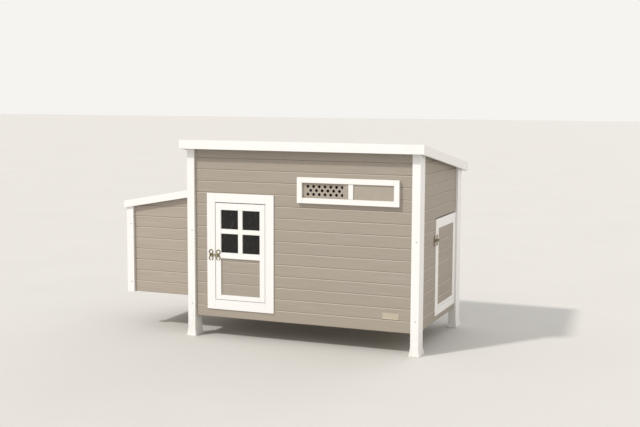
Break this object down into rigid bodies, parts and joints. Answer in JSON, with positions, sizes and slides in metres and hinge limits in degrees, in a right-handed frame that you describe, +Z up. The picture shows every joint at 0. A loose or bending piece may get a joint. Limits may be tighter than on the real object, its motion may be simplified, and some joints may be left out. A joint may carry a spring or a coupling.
{
  "type": "chicken coop",
  "caption": "Raised composite-board chicken coop with a sloping roof, windowed door, shuttered vent, side door and lidded nest box.",
  "frame": {"origin": "centre of the coop's outline at ground level, nest box included", "axes": "+X from the nest box towards the side door, +Y from the front to the rear, +Z up"},
  "size_m": [1.9444, 0.978, 1.166],
  "materials": {
    "taupe_composite": "matt extruded composite board",
    "white_composite": "matt extruded composite trim",
    "inner_composite": "unpainted composite",
    "taupe_plastic": "matt sheet",
    "white_plastic": "moulded",
    "smoked_pane": "clear plastic sheet",
    "antique_brass": "antique",
    "zinc_steel": "zinc plated",
    "pewter_plate": "satin"
  },
  "bodies": {
    "cabin": {"post_front_left": "white_composite", "post_front_right": "white_composite", "post_rear_left": "white_composite", "post_rear_right": "white_composite", "foot_front_left": "white_plastic", "foot_front_right": "white_plastic", "foot_rear_left": "white_plastic", "foot_rear_right": "white_plastic", "front_boards": "taupe_composite", "rear_boards": "taupe_composite", "right_boards": "taupe_composite", "left_boards": "taupe_composite", "sill_rail_front": "inner_composite", "sill_rail_rear": "inner_composite", "sill_rail_left": "inner_composite", "sill_rail_right": "inner_composite", "top_rails": "inner_composite", "floor_panel": "inner_composite", "floor_bearers": "inner_composite", "roof_rafters": "inner_composite", "roof_boards": "white_composite", "roof_fascia_front": "white_composite", "roof_fascia_rear": "white_composite", "roof_fascia_left": "white_composite", "roof_fascia_right": "white_composite", "front_door_casing": "white_composite", "front_latch_keeper": "antique_brass", "side_door_pivot_blocks": "taupe_plastic", "side_latch_keeper": "antique_brass", "vent_frame": "white_composite", "vent_grille": "taupe_plastic", "nest_post_front": "white_composite", "nest_post_rear": "white_composite", "nest_boards_front": "taupe_composite", "nest_boards_rear": "taupe_composite", "nest_boards_end": "taupe_composite", "nest_floor": "inner_composite", "nest_divider": "inner_composite", "nest_hinge_wall_flaps": "zinc_steel", "roost_bars": "inner_composite", "roost_cups": "white_plastic", "blank_plate": "pewter_plate", "frame_screws": "zinc_steel"},
    "front_door": {"front_door_frame": "white_composite", "front_door_window_bars": "white_composite", "front_door_panes": "smoked_pane", "front_door_boards": "taupe_composite", "front_door_pins": "zinc_steel", "front_latch_plate": "antique_brass"},
    "front_latch": {"front_latch_arm": "antique_brass"},
    "side_door": {"side_door_frame": "white_composite", "side_door_boards": "taupe_composite", "side_door_pins": "zinc_steel", "side_latch_plate": "antique_brass"},
    "side_latch": {"side_latch_arm": "antique_brass"},
    "vent_slider": {"vent_shutter": "taupe_plastic", "vent_shutter_pull": "white_plastic"},
    "nest_lid": {"nest_lid_panel": "white_composite", "nest_lid_edging": "white_composite", "nest_hinge_lid_flaps": "zinc_steel"}
  },
  "joints": [
    {"name": "front_door_hinge", "type": "hinge", "parent": "cabin", "child": "front_door", "pos_m": [0.00625, -0.426, 0.238], "axis": [0, 0, 1], "range_deg": [0, 100]},
    {"name": "front_latch_swivel", "type": "hinge", "parent": "front_door", "child": "front_latch", "pos_m": [-0.28325, -0.436, 0.493], "axis": [0, 1, 0], "range_deg": [0, 100]},
    {"name": "side_door_hinge", "type": "hinge", "parent": "cabin", "child": "side_door", "pos_m": [0.92575, 0.359, 0.156], "axis": [0, 0, 1], "range_deg": [0, 95]},
    {"name": "side_latch_swivel", "type": "hinge", "parent": "side_door", "child": "side_latch", "pos_m": [0.93325, -0.0585, 0.6], "axis": [-1, 0, 0], "range_deg": [0, 100]},
    {"name": "vent_slide", "type": "slide", "parent": "cabin", "child": "vent_slider", "axis": [-1, 0, 0], "range_m": [0, 0.245]},
    {"name": "nest_lid_hinge", "type": "hinge", "parent": "cabin", "child": "nest_lid", "pos_m": [-0.47375, 0.005, 0.87243], "axis": [0, 1, 0], "range_deg": [0, 80]}
  ]
}
